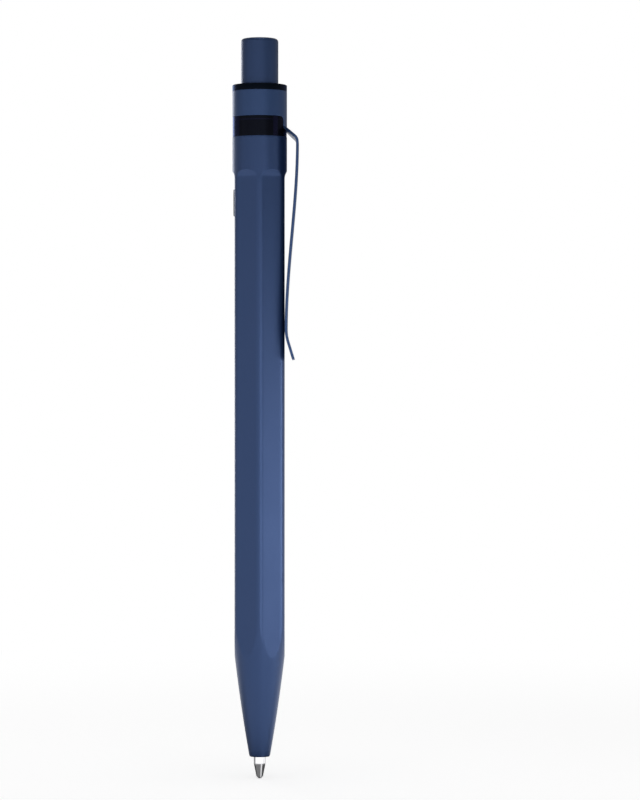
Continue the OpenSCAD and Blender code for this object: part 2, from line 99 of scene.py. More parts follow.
class PEN_PG_barrel(bpy.types.PropertyGroup):
    flat_width: FloatProperty(
        name="Width across flats", description="Distance between two opposite flats",
        default=9.5 * MM, min=9.0 * MM, max=10.0 * MM, unit="LENGTH", precision=5)
    corner_radius: FloatProperty(
        name="Corner radius", description="Radius of the hexagon's corners",
        default=1.6 * MM, min=0.5 * MM, max=2.5 * MM, unit="LENGTH", precision=5)
    collar_width: FloatProperty(
        name="Collar width", description="Diameter of the round collar",
        default=10.4 * MM, min=10.2 * MM, max=11.0 * MM, unit="LENGTH", precision=5)
    collar_foot: FloatProperty(
        name="Collar foot", description="Height at which the flats start to run out",
        default=114.35 * MM, min=100 * MM, max=118 * MM, unit="LENGTH", precision=5)
    runout_radius: FloatProperty(
        name="Run-out radius", description="Radius of the hollow at the top of each flat",
        default=2.0 * MM, min=1 * MM, max=5 * MM, unit="LENGTH", precision=5)
    colour: FloatVectorProperty(
        name="Barrel colour", description="Colour of the satin moulding",
        subtype="COLOR", size=3, min=0, max=1, default=(0.0235, 0.055, 0.154))
    pad_colour: FloatVectorProperty(
        name="Pad colour", description="Colour of the pad on the back flat",
        subtype="COLOR", size=3, min=0, max=1, default=(0.014, 0.022, 0.048))


class PEN_PG_clip(bpy.types.PropertyGroup):
    sheet: FloatProperty(
        name="Sheet thickness", description="Thickness of ring and blade",
        default=0.5 * MM, min=0.3 * MM, max=0.6 * MM, unit="LENGTH", precision=5)
    blade_width: FloatProperty(
        name="Blade width", description="Width of the clip's blade",
        default=8.3 * MM, min=6 * MM, max=9 * MM, unit="LENGTH", precision=5)
    neck_width: FloatProperty(
        name="Neck width", description="Width of the neck under the ring",
        default=4.75 * MM, min=3.5 * MM, max=5.4 * MM, unit="LENGTH", precision=5)
    colour: FloatVectorProperty(
        name="Clip colour", description="Colour of the satin paint",
        subtype="COLOR", size=3, min=0, max=1, default=(0.0255, 0.062, 0.168))


class PEN_PG_top(bpy.types.PropertyGroup):
    button_width: FloatProperty(
        name="Button width", description="Diameter of the push button",
        default=7.1 * MM, min=7 * MM, max=7.2 * MM, unit="LENGTH", precision=5)
    button_colour: FloatVectorProperty(
        name="Button colour", description="Colour of the push button",
        subtype="COLOR", size=3, min=0, max=1, default=(0.021, 0.050, 0.138))
    rim_colour: FloatVectorProperty(
        name="Rim colour", description="Colour of the rim above the ring",
        subtype="COLOR", size=3, min=0, max=1, default=(0.002, 0.003, 0.005))
    window_colour: FloatVectorProperty(
        name="Window colour", description="Colour of the smoked band",
        subtype="COLOR", size=3, min=0, max=1, default=(0.0045, 0.005, 0.0075))
    rib_colour: FloatVectorProperty(
        name="Rib colour", description="Colour that shows faintly through the smoked band",
        subtype="COLOR", size=3, min=0, max=1, default=(0.009, 0.009, 0.026))


class PEN_PG_stage(bpy.types.PropertyGroup):
    camera_distance: FloatProperty(
        name="Camera distance", description="Distance from the pen's axis to the camera",
        default=0.585, min=0.2, max=2, unit="LENGTH", precision=4)
    front_power: FloatProperty(
        name="Front light", description="Power of the wide softbox in front",
        default=0.66, min=0, max=20, unit="POWER")
    left_power: FloatProperty(
        name="Left light", description="Power of the wide softbox at the front left",
        default=0.272, min=0, max=20, unit="POWER")
    right_power: FloatProperty(
        name="Right light", description="Power of the near, narrow-beamed softboxes low on the right",
        default=0.0121, min=0, max=1, unit="POWER", precision=4)
    back_power: FloatProperty(
        name="Back light", description="Power of the softbox behind on the left",
        default=0.8, min=0, max=20, unit="POWER")
    top_power: FloatProperty(
        name="Top light", description="Power of the softbox above",
        default=0.55, min=0, max=20, unit="POWER")
    sky: FloatProperty(
        name="Room light", description="Strength of the even light from all round",
        default=0.305, min=0, max=2)


# Working steps: selecting, turning, cutting, finishing

def deselect_all():
    if bpy.context.mode != "OBJECT":
        bpy.ops.object.mode_set(mode="OBJECT")
    bpy.ops.object.select_all(action="DESELECT")


def make_active(piece):
    deselect_all()
    piece.select_set(True)
    bpy.context.view_layer.objects.active = piece


def edit(piece, mode="VERT"):
    make_active(piece)
    bpy.ops.object.mode_set(mode="EDIT")
    bpy.ops.mesh.select_mode(type=mode)


def pick_vertices(piece, wanted):
    """Leaves only the wanted vertices of the piece selected, in edit mode."""
    edit(piece)
    bpy.ops.mesh.select_all(action="DESELECT")
    bpy.ops.object.mode_set(mode="OBJECT")
    for vertex in piece.data.vertices:
        vertex.select = wanted(vertex)
    bpy.ops.object.mode_set(mode="EDIT")


def close_up(piece):
    """Merges doubled points, clears loose edges and turns all faces outwards."""
    edit(piece)
    bpy.ops.mesh.select_all(action="SELECT")
    bpy.ops.mesh.remove_doubles(threshold=0.0005 * MM)
    bpy.ops.mesh.delete_loose()
    bpy.ops.mesh.select_all(action="SELECT")
    bpy.ops.mesh.normals_make_consistent(inside=False)
    bpy.ops.object.mode_set(mode="OBJECT")


def turn(name, section, steps=TURN_STEPS):
    """Draws a closed half section point by point and spins it round the pen's axis."""
    deselect_all()
    bpy.ops.mesh.primitive_plane_add(size=MM, location=(0, 0, 0))
    piece = bpy.context.object
    piece.name = piece.data.name = name
    bpy.ops.object.mode_set(mode="EDIT")
    bpy.ops.mesh.select_mode(type="VERT")
    bpy.ops.mesh.select_all(action="SELECT")
    bpy.ops.mesh.merge(type="CENTER")
    bpy.ops.transform.translate(value=(section[0][0], 0, section[0][1]))
    for (xa, za), (xb, zb) in zip(section, section[1:]):
        bpy.ops.mesh.extrude_vertices_move(TRANSFORM_OT_translate={"value": (xb - xa, 0, zb - za)})
    last = len(section) - 1
    pick_vertices(piece, lambda v: v.index in (0, last))
    bpy.ops.mesh.edge_face_add()
    bpy.ops.mesh.select_all(action="SELECT")
    bpy.ops.mesh.spin(steps=steps, angle=math.tau, center=(0, 0, 0), axis=(0, 0, 1))
    close_up(piece)
    return piece


def add_modifier(piece, kind, **settings):
    """Adds a modifier, sets it and applies it."""
    make_active(piece)
    modifier = piece.modifiers.new(kind.title(), kind)
    for key, value in settings.items():
        setattr(modifier, key, value)
    bpy.ops.object.modifier_apply(modifier=modifier.name)


def ease_edges(piece, width, angle):
    """Rounds the edges that turn by more than an angle."""
    add_modifier(piece, "BEVEL", width=width, segments=3, limit_method="ANGLE",
                 angle_limit=math.radians(angle))


def cut_away(piece, cutter):
    """Takes the cutter's shape out of a piece, and removes the cutter."""
    add_modifier(piece, "BOOLEAN", operation="DIFFERENCE", object=cutter, solver="EXACT")
    bpy.data.objects.remove(cutter)


def soften(piece, angle=35):
    """Shades a piece smooth up to an angle, with its wide faces kept even."""
    make_active(piece)
    bpy.ops.object.shade_smooth_by_angle(angle=math.radians(angle))
    add_modifier(piece, "WEIGHTED_NORMAL", keep_sharp=True, weight=80)


def seat(piece, body, material, nodes):
    """Gives a finished piece its material and its body, and hides the nodes it stands for."""
    make_active(piece)
    bpy.ops.object.transform_apply(location=True, rotation=True, scale=True)
    piece.data.materials.clear()
    piece.data.materials.append(material)
    if body:
        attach(piece, body)
    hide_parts(*nodes)


def in_mm(points):
    """A section given in millimetres, in metres."""
    return [(x * MM, z * MM) for x, z in points]


def arc(cx, cz, radius, start, stop, steps):
    """Points on an arc in the half section, with angles in degrees."""
    points = []
    for i in range(steps + 1):
        a = math.radians(start + (stop - start) * i / steps)
        points.append((cx + radius * math.cos(a), cz + radius * math.sin(a)))
    return points


def smooth_min(a, b, width):
    h = max(width - abs(a - b), 0) / width
    return min(a, b) - h * h * width / 4


def smooth_step(low_end, high_end, value):
    t = min(max((value - low_end) / (high_end - low_end), 0), 1)
    return t * t * (3 - 2 * t)


# Shader nodes

def add_node(tree, kind, *values, **settings):
    """Adds a node, feeds its inputs in order with outputs or plain values, and gives its first output."""
    node = tree.nodes.new(kind)
    for key, value in settings.items():
        setattr(node, key, value)
    for socket, value in zip(node.inputs, values):
        if isinstance(value, bpy.types.NodeSocket):
            tree.links.new(value, socket)
        else:
            socket.default_value = value
    return node.outputs[0]


def calculate(tree, operation, *values):
    return add_node(tree, "ShaderNodeMath", *values, operation=operation)


def end_with(tree, kind, surface):
    """Adds the output node and leads the finished surface into it."""
    output = tree.nodes.new(kind)
    tree.links.new(surface, output.inputs["Surface"])


def set_values(node, **values):
    """Writes plain values on a node's sockets, named with _ for each space."""
    for key, value in values.items():
        node.inputs[key.replace("_", " ")].default_value = value


def ramp(tree, value, start, stop, low_end=0, high_end=1, smooth=True):
    """Leads a value from one range to another, and holds it beyond."""
    node = tree.nodes.new("ShaderNodeMapRange")
    if smooth:
        node.interpolation_type = "SMOOTHSTEP"
    set_values(node, From_Min=start, From_Max=stop, To_Min=low_end, To_Max=high_end)
    tree.links.new(value, node.inputs["Value"])
    return node.outputs[0]


def noise(tree, place, scale, detail, roughness=0.5):
    node = tree.nodes.new("ShaderNodeTexNoise")
    set_values(node, Detail=detail, Roughness=roughness)
    tree.links.new(place, node.inputs["Vector"])
    tree.links.new(scale, node.inputs["Scale"])
    return node.outputs["Fac"]


def split_place(tree, place):
    node = tree.nodes.new("ShaderNodeSeparateXYZ")
    tree.links.new(place, node.inputs[0])
    return node.outputs["X"], node.outputs["Y"], node.outputs["Z"]


# Shared effects, as node groups

def new_group(name, inputs, outputs):
    group = bpy.data.node_groups.new(name, "ShaderNodeTree")
    for label, kind, value in inputs:
        socket = group.interface.new_socket(name=label, in_out="INPUT", socket_type=kind)
        if value is not None:
            socket.default_value = value
    for label, kind in outputs:
        group.interface.new_socket(name=label, in_out="OUTPUT", socket_type=kind)
    source = group.nodes.new("NodeGroupInput")
    sink = group.nodes.new("NodeGroupOutput")
    return group, source.outputs, sink.inputs


def grain_group():
    """Fine moulded or sprayed grain: a height for the bump and a slow mottle for the gloss."""
    group, given, result = new_group(
        "Surface_Grain",
        [("Vector", "NodeSocketVector", None), ("Grain", "NodeSocketFloat", 4000.0),
         ("Mottle", "NodeSocketFloat", 120.0)],
        [("Height", "NodeSocketFloat"), ("Mottle", "NodeSocketFloat")])
    fine = noise(group, given["Vector"], given["Grain"], detail=3, roughness=0.6)
    slow = noise(group, given["Vector"], given["Mottle"], detail=2)
    group.links.new(fine, result["Height"])
    group.links.new(slow, result["Mottle"])
    return group


def tone_group():
    """Makes a colour a little lighter or darker, by a mask."""
    group, given, result = new_group(
        "Tone_Drift",
        [("Colour", "NodeSocketColor", (0.5, 0.5, 0.5, 1)), ("Mask", "NodeSocketFloat", 0.5),
         ("Amount", "NodeSocketFloat", 0.1)],
        [("Colour", "NodeSocketColor")])
    off_middle = calculate(group, "SUBTRACT", given["Mask"], 0.5)
    value = calculate(group, "MULTIPLY_ADD", off_middle, given["Amount"], 1.0)
    shade = group.nodes.new("ShaderNodeHueSaturation")
    group.links.new(value, shade.inputs["Value"])
    group.links.new(given["Colour"], shade.inputs["Color"])
    group.links.new(shade.outputs["Color"], result["Colour"])
    return group


def turned_group():
    """Fine rings round the axis, as a lathe leaves them."""
    group, given, result = new_group(
        "Turned_Rings",
        [("Vector", "NodeSocketVector", None), ("Rings", "NodeSocketFloat", 9000.0)],
        [("Height", "NodeSocketFloat")])
    height = split_place(group, given["Vector"])[2]
    along = add_node(group, "ShaderNodeCombineXYZ", 0, 0, height)
    group.links.new(noise(group, along, given["Rings"], detail=2), result["Height"])
    return group


def place_effect(tree, name, maker, **values):
    """Places a shared effect in a material, and makes it on its first use."""
    node = tree.nodes.new("ShaderNodeGroup")
    node.node_tree = bpy.data.node_groups.get(name) or maker()
    set_values(node, **values)
    return node


# Materials

def new_material(name):
    material = bpy.data.materials.new(name)
    material.use_nodes = True
    tree = material.node_tree
    tree.nodes.clear()
    shader = tree.nodes.new("ShaderNodeBsdfPrincipled")
    end_with(tree, "ShaderNodeOutputMaterial", shader.outputs[0])
    return material, tree, shader


def object_place(tree):
    return tree.nodes.new("ShaderNodeTexCoord").outputs["Object"]


def place_grain(tree, place, grain, mottle):
    surface = place_effect(tree, "Surface_Grain", grain_group, Grain=grain, Mottle=mottle)
    tree.links.new(place, surface.inputs["Vector"])
    return surface.outputs


def place_tone(tree, colour, mask, amount):
    tone = place_effect(tree, "Tone_Drift", tone_group, Colour=(*colour, 1), Amount=amount)
    tree.links.new(mask, tone.inputs["Mask"])
    return tone.outputs["Colour"]


def place_gloss(tree, mask, shader, low_end, high_end):
    """Spreads the mottle, which lies mostly between 0.3 and 0.7, over two roughnesses."""
    gloss = ramp(tree, mask, 0.3, 0.7, low_end, high_end, smooth=False)
    tree.links.new(gloss, shader.inputs["Roughness"])


def place_bump(tree, height, shader, strength):
    bump = tree.nodes.new("ShaderNodeBump")
    set_values(bump, Strength=strength, Distance=0.01 * MM)
    tree.links.new(height, bump.inputs["Height"])
    tree.links.new(bump.outputs[0], shader.inputs["Normal"])


def plastic(name, colour, rough, grain=5000, mottle=90, drift=0.08, bump=0.12, metallic=0, shine=0.5,
            gleam=(1, 1, 1)):
    """Moulded plastic or sprayed paint with a fine grain, a slow tone drift and uneven gloss;
    gleam is the tint of its highlights."""
    material, tree, shader = new_material(name)
    surface = place_grain(tree, object_place(tree), grain, mottle)
    tone = place_tone(tree, colour, surface["Mottle"], drift)
    tree.links.new(tone, shader.inputs["Base Color"])
    place_gloss(tree, surface["Mottle"], shader, *rough)
    place_bump(tree, surface["Height"], shader, bump)
    set_values(shader, Metallic=metallic, Specular_IOR_Level=shine, Specular_Tint=(*gleam, 1))
    return material


def metal(name, colour, rough, rings=9000, bump=0.1, edge=1):
    """Turned metal with fine rings round the axis; edge is its brightness at a low angle."""
    material, tree, shader = new_material(name)
    place = object_place(tree)
    surface = place_grain(tree, place, 6000, 400)
    tone = place_tone(tree, colour, surface["Mottle"], 0.12)
    lines = place_effect(tree, "Turned_Rings", turned_group, Rings=rings)
    tree.links.new(place, lines.inputs["Vector"])
    tree.links.new(tone, shader.inputs["Base Color"])
    place_gloss(tree, surface["Mottle"], shader, *rough)
    place_bump(tree, lines.outputs["Height"], shader, bump)
    set_values(shader, Metallic=1, Specular_Tint=(edge, edge, edge, 1))
    return material


def clear(name, colour, weight=0.8):
    """Clear or milky plastic, or grease."""
    material, tree, shader = new_material(name)
    surface = place_grain(tree, object_place(tree), 3000, 200)
    tone = place_tone(tree, colour, surface["Mottle"], 0.08)
    tree.links.new(tone, shader.inputs["Base Color"])
    place_gloss(tree, surface["Mottle"], shader, 0.12, 0.2)
    set_values(shader, Transmission_Weight=weight, IOR=1.45)
    return material


def smoked(name, colour, rib_colour):
    """Smoked plastic: nearly black and glossy, with the inner guide ribs just showing through."""
    material, tree, shader = new_material(name)
    place = object_place(tree)
    surface = place_grain(tree, place, 2500, 150)
    x, y, z = split_place(tree, place)
    ribs, turned_by, rib_edge, rib_middle = 4, math.radians(53), 0.86, 0.97
    line_height, line_edge, line_middle = Z_RING - 0.7 * MM, 0.14 * MM, 0.02 * MM
    angle = calculate(tree, "ARCTAN2", y, x)
    wave = calculate(tree, "COSINE", calculate(tree, "MULTIPLY_ADD", angle, ribs, ribs * turned_by))
    rib = ramp(tree, wave, rib_edge, rib_middle)
    off_line = calculate(tree, "ABSOLUTE", calculate(tree, "SUBTRACT", z, line_height))
    line = ramp(tree, off_line, line_edge, line_middle, 0, 0.8)
    mix = tree.nodes.new("ShaderNodeMix")
    mix.data_type = "RGBA"
    tree.links.new(calculate(tree, "MAXIMUM", rib, line), mix.inputs["Factor"])
    tree.links.new(place_tone(tree, colour, surface["Mottle"], 0.3), mix.inputs["A"])
    tree.links.new(place_tone(tree, rib_colour, surface["Mottle"], 0.3), mix.inputs["B"])
    tree.links.new(mix.outputs["Result"], shader.inputs["Base Color"])
    place_gloss(tree, surface["Mottle"], shader, 0.22, 0.3)
    set_values(shader, Metallic=0.6, Specular_IOR_Level=0.2, Specular_Tint=(0.4, 0.5, 0.9, 1))
    return material


# The pieces

def nose_radius(z):
    """Radius of the bowed nose, with the blend into the hexagon's corners."""
    nose_end, bow, length, blend = 1.95 * MM, 0.2 * MM, 22.1 * MM, 3.0 * MM
    corner = 5.247 * MM
    share = blend / (2 * length)
    full = (corner + share * (nose_end + 4 * bow)) / (1 + share)
    slope = (full - nose_end - 4 * bow) / length
    t = (z - Z_NOSE) / length
    if t <= 1:
        return nose_end + (full - nose_end) * t + 4 * bow * t * (1 - t)
    u = min((z - Z_NOSE - length) / blend, 1)
    return full + slope * blend * (u - u * u / 2)


def barrel_radius(angle, z, pen):
    """Distance from the axis to the barrel's outside, by direction and height."""
    across = pen.flat_width / 2
    corner = pen.corner_radius
    ease = 0.02 * MM
    off = abs(math.radians((math.degrees(angle) + 30) % 60 - 30))
    sixth = math.radians(30)
    centre = (across - corner) / math.cos(sixth)
    if off < math.atan((across - corner) * math.tan(sixth) / across):
        sides = across / math.cos(off)
    else:
        away = sixth - off
        sides = centre * math.cos(away) + math.sqrt(corner ** 2 - (centre * math.sin(away)) ** 2)
    if z < Z_BLEND:
        return smooth_min(sides, nose_radius(z), ease)
    share = smooth_step(pen.collar_foot - 0.4 * MM, pen.collar_foot + 0.6 * MM, z)
    if share == 0:
        return sides
    rise = min(max(z - pen.collar_foot, 0), pen.runout_radius * 0.999)
    hollow = pen.runout_radius - math.sqrt(pen.runout_radius ** 2 - rise ** 2)
    outer = sides * (1 - share) + pen.collar_width / 2 * share
    return smooth_min((across + hollow) / math.cos(off), outer, ease * share)


class PEN_OT_barrel(bpy.types.Operator):
    """Turns the barrel with its bores and mills the six flats and their run-outs"""
    bl_idname = "pen.barrel"
    bl_label = "Barrel"

    def execute(self, context):
        pen = context.scene.pen_barrel
        collar = pen.collar_width / 2
        blank = collar + 0.1 * MM
        lip, edge = 0.22 * MM, 0.1 * MM

        def blank_radius(z):
            """Radius of the turned blank: the nose, and a little over the collar above it."""
            return min(nose_radius(z), blank) if z < Z_BLEND + 0.05 * MM else blank

        nose_low, nose_high = Z_NOSE + 0.4 * MM, Z_NOSE + 18 * MM
        flat_rows, runout_rows, collar_rows = (34, 44, 54, 64, 74, 84, 94, 104, 112, 113.4), 24, (117, 119.5)
        heights = [nose_low + (nose_high - nose_low) * i / NOSE_ROWS for i in range(NOSE_ROWS + 1)]
        heights += [nose_high + (Z_BLEND - nose_high) * i / BLEND_ROWS for i in range(1, BLEND_ROWS + 1)]
        heights += [z * MM for z in flat_rows]
        heights += [pen.collar_foot + 0.1 * MM * i for i in range(runout_rows)]
        heights += [z * MM for z in collar_rows]
        outer = arc(nose_radius(Z_NOSE) - lip, Z_NOSE + lip, lip, -90, -10, 5)
        outer += [(blank_radius(z), z) for z in heights] + [(collar, Z_SEAT - 0.3 * MM)]
        outer += arc(collar - edge, Z_SEAT - edge, edge, 0, 90, 4)
        seat_bore, guide_bore, ink_bore, spring_bore, holder_bore, mouth = 4.36, 4.06, 3.3, 2.6, 1.85, 1.18
        stop, sleeve, cone_top, cone_foot = Z_STOP / MM - 0.1, Z_SLEEVE / MM - 0.1, 24.5, 23.8
        spring_seat, holder_seat = 13.0, 6.8
        bore = [(seat_bore, Z_SEAT / MM), (seat_bore, stop), (guide_bore, stop), (guide_bore, sleeve),
                (ink_bore, sleeve), (ink_bore, cone_top), (spring_bore, cone_foot),
                (spring_bore, spring_seat), (holder_bore, spring_seat), (holder_bore, holder_seat),
                (mouth, holder_seat), (mouth, Z_NOSE / MM)]
        barrel = turn("barrel_shell", outer + in_mm(bore))
        rounded = 0.35 * MM
        for vertex in barrel.data.vertices:
            x, y, z = vertex.co
            radius = math.hypot(x, y)
            if Z_NOSE + rounded < z < Z_SEAT - rounded and radius > blank_radius(z) - 0.01 * MM:
                scale = barrel_radius(math.atan2(y, x), z, pen) / radius
                vertex.co = (x * scale, y * scale, z)
        soften(barrel, 40)
        satin = plastic("Barrel_Satin", pen.colour, rough=(0.36, 0.41), drift=0.06, bump=0.05, metallic=0.5)
        seat(barrel, TOP_BODY, satin, ["barrel"])
        return {"FINISHED"}


class PEN_OT_back_pad(bpy.types.Operator):
    """Raises the plain oval pad on the flat opposite the clip"""
    bl_idname = "pen.back_pad"
    bl_label = "Back pad"

    def execute(self, context):
        pen = context.scene.pen_barrel
        lowest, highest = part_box("rear_pad")
        half = (highest.y - lowest.y) / 2
        middle = (highest.z + lowest.z) / 2
        stretch = (highest.z - lowest.z) / 2 - half
        deselect_all()
        bpy.ops.mesh.primitive_circle_add(vertices=48, radius=half, fill_type="NGON",
                                          location=(highest.x, 0, middle), rotation=(0, -math.pi / 2, 0))
        pad = bpy.context.object
        pad.name = pad.data.name = "back_pad"
        bpy.ops.object.transform_apply(location=True, rotation=True, scale=True)
        for side in (1, -1):
            pick_vertices(pad, lambda v: side * (v.co.z - middle) > -CLOSE)
            bpy.ops.transform.translate(value=(0, 0, side * stretch))
            bpy.ops.object.mode_set(mode="OBJECT")
        edit(pad, "FACE")
        bpy.ops.mesh.select_all(action="SELECT")
        bpy.ops.mesh.extrude_region_move(TRANSFORM_OT_translate={"value": (lowest.x - highest.x, 0, 0)})
        close_up(pad)
        ease_edges(pad, 0.07 * MM, 40)
        soften(pad)
        satin = plastic("Pad_Satin", pen.pad_colour, rough=(0.45, 0.55), shine=0.15)
        seat(pad, TOP_BODY, satin, ["rear_pad"])
        return {"FINISHED"}


def clip_path():
    """Centre line of the blade from the end of the arm: shoulder, S-curve and lip, as (x, z)."""
    ring, reach, grip, shoulder, lip_bend = 5.2, 7.2, 5.06, 1.3, 8
    z_root, z_grip, z_lip = Z_ROOT / MM, Z_GRIP / MM, Z_LIP / MM
    bend_x = reach - shoulder
    fall = (bend_x + shoulder * math.sin(ARM_SLOPE) - ring) * math.tan(ARM_SLOPE)
    bend_z = z_root - fall - shoulder * math.cos(ARM_SLOPE)
    path = arc(bend_x, bend_z, shoulder, 48, 0, 10)
    rows = 44
    for i in range(1, rows + 1):
        u = 1 - i / rows
        path.append((grip + (reach - grip) * (3 * u * u - 2 * u ** 3), z_grip + (bend_z - z_grip) * u))
    flare = math.radians(17)
    flare_rows = 6
    for i in range(1, flare_rows + 1):
        a = flare * i / flare_rows
        path.append((grip + lip_bend * (1 - math.cos(a)), z_grip - lip_bend * math.sin(a)))
    x_end, z_end = path[-1]
    for share in (0.3, 0.55, 0.7, 0.8, 0.88, 0.94, 0.975, 1.0):
        drop = (z_end - z_lip) * share
        path.append((x_end + drop * math.tan(flare), z_end - drop))
    return in_mm(path)


def clip_half_width(z, pen):
    """Half of the clip's width at a height: fillet, neck, flare, blade and bottom corners."""
    blade, neck = pen.blade_width / 2, pen.neck_width / 2
    fillet, corner = 1.0 * MM, 1.25 * MM
    flare_top, flare = Z_ROOT + 1.2 * MM, 2.6 * MM
    if z > Z_RING - fillet:
        return neck + fillet - math.sqrt(max(fillet ** 2 - (z - Z_RING + fillet) ** 2, 0))
    if z > flare_top:
        return neck
    if z > flare_top - flare:
        widen = blade - neck
        radius = (widen ** 2 + flare ** 2) / (4 * widen)
        if z > flare_top - flare / 2:
            return neck + radius - math.sqrt(radius ** 2 - (flare_top - z) ** 2)
        return blade - radius + math.sqrt(radius ** 2 - (z - flare_top + flare) ** 2)
    if z < Z_LIP + corner:
        return blade - corner + math.sqrt(max(corner ** 2 - (Z_LIP + corner - z) ** 2, 0))
    return blade


class PEN_OT_clip(bpy.types.Operator):
    """Rolls the clip ring and draws its neck, arm, blade and lip out of it row by row"""
    bl_idname = "pen.clip"
    bl_label = "Clip and ring"

    def execute(self, context):
        pen = context.scene.pen_clip
        collar = context.scene.pen_barrel.collar_width / 2
        middle = collar - pen.sheet / 2
        deselect_all()
        bpy.ops.mesh.primitive_cylinder_add(vertices=TURN_STEPS, radius=middle, depth=Z_RIM - Z_RING,
                                            end_fill_type="NOTHING", location=(0, 0, (Z_RING + Z_RIM) / 2))
        clip = bpy.context.object
        clip.name = clip.data.name = "clip"
        bpy.ops.object.transform_apply(location=True)
        root_span = math.radians(40.5)
        pick_vertices(clip, lambda v: abs(v.co.z - Z_RING) < CLOSE
                      and abs(math.atan2(v.co.y, v.co.x)) < root_span)

        def on_plane(x):
            """Height of the arm's sloping plane at a distance from the axis."""
            return Z_ROOT + (collar - x) * math.tan(ARM_SLOPE)

        def lay_row(place):
            """Extrudes the picked row and lays the new row in place, by its share of the half width."""
            bpy.ops.mesh.extrude_edges_move(TRANSFORM_OT_translate={"value": (0, 0, -0.1 * MM)})
            bpy.ops.object.mode_set(mode="OBJECT")
            row = sorted((v for v in clip.data.vertices if v.select), key=lambda v: v.co.y)
            half = (len(row) - 1) / 2
            for i, vertex in enumerate(row):
                vertex.co = place(i / half - 1)
            bpy.ops.object.mode_set(mode="EDIT")

        def neck_point(share, z, pull):
            """Point on the round neck, settled in a few rounds; pull turns its row to the arm's plane."""
            lift = 0
            for _ in range(4):
                y = share * clip_half_width(z + lift, pen) * middle / collar
                x = math.sqrt(middle ** 2 - y ** 2)
                lift = (on_plane(x) - on_plane(middle)) * pull
            return x, y, z + lift

        bend = 0.3 * MM
        bend_z = on_plane(middle)
        start_x = middle + bend * math.cos(ARM_SLOPE)
        path = clip_path()

        def bend_point(share, t):
            """Point on the small bend from the neck into the arm."""
            x, y, z = neck_point(share, bend_z, 1)
            top = (x, z + bend)
            out = (x + bend * math.cos(ARM_SLOPE), z - bend * math.sin(ARM_SLOPE))
            a, b, c = (1 - t) ** 2, 2 * t * (1 - t), t * t
            return a * top[0] + b * x + c * out[0], y, a * top[1] + b * z + c * out[1]

        def arm_point(share, along):
            """Point on the arm, settled in a few rounds; its rows go from the ring's curve to straight."""
            straight = start_x + (path[0][0] - start_x) * along
            bowed = (1 - along) ** 2
            narrow = middle / collar + (1 - middle / collar) * along
            y = share * clip_half_width(on_plane(straight), pen)
            for _ in range(3):
                x = straight - (middle - math.sqrt(max(middle ** 2 - y ** 2, 0))) * bowed
                y = share * clip_half_width(on_plane(x), pen) * narrow
            return x, y, on_plane(x)

        for drop, pull in ((0.1, 0), (0.25, 0), (0.45, 0), (0.7, 0), (1.0, 0), (1.25, 0.25), (1.5, 0.6)):
            lay_row(lambda s: neck_point(s, Z_RING - drop * MM, pull))
        for t in (0.0, 0.25, 0.5, 0.75, 1.0):
            lay_row(lambda s: bend_point(s, t))
        arm_rows = 9
        for k in range(1, arm_rows):
            lay_row(lambda s: arm_point(s, k / arm_rows))
        for x, z in path:
            lay_row(lambda s: (x, s * clip_half_width(z, pen), z))
        bpy.ops.object.mode_set(mode="OBJECT")
        add_modifier(clip, "SOLIDIFY", thickness=pen.sheet, offset=0, use_even_offset=True)
        close_up(clip)
        ease_edges(clip, 0.1 * MM, 50)
        soften(clip, 40)
        paint = plastic("Clip_Paint", pen.colour, rough=(0.35, 0.4), grain=7000, mottle=70, drift=0.06,
                        bump=0.04, metallic=0.5)
        seat(clip, None, paint, ["clip_ring", "clip_blade"])
        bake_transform(clip)
        return {"FINISHED"}


def sleeve_piece():
    """Turns the sleeve, lifts its cam teeth and cuts the four guide grooves."""
    foot_wall, seat_wall, band_wall = 4.03 * MM, 4.33 * MM, 4.66 * MM
    top_bore, crown_bore, ribs = 4.11 * MM, 3.63 * MM, 2.73 * MM
    groove, slot_width = 3.33 * MM, 1.82 * MM
    cam, latch_wall, latch = Z_SLEEVE + 6.05 * MM, 0.83 * MM, 1.1 * MM
    rib_top, rim_foot = Z_STOP + 1.5 * MM, Z_RIM - 1.6 * MM
    section = [(groove, Z_SLEEVE), (foot_wall, Z_SLEEVE), (foot_wall, Z_STOP), (seat_wall, Z_STOP),
               (seat_wall, Z_SEAT), (band_wall, Z_SEAT), (band_wall, Z_RIM), (top_bore, Z_RIM),
               (top_bore, rim_foot), (crown_bore, rim_foot), (crown_bore, rib_top), (ribs, rib_top),
               (ribs, cam), (groove, cam)]
    sleeve = turn("sleeve_core", section, 96)
    for vertex in sleeve.data.vertices:
        if abs(vertex.co.z - cam) < CLOSE:
            off = math.degrees(math.atan2(vertex.co.y, vertex.co.x)) % 90 - 45
            across = groove * math.sin(math.radians(off))
            vertex.co.z += across * math.tan(CAM_SLOPE) - (latch if across > latch_wall else 0)
    for angle in (0, 90):
        deselect_all()
        bpy.ops.mesh.primitive_cube_add(size=1, location=(0, 0, Z_STOP - 10 * MM),
                                        rotation=(0, 0, math.radians(angle)),
                                        scale=(2 * groove + 0.01 * MM, slot_width, 20 * MM))
        cut_away(sleeve, bpy.context.object)
    return sleeve


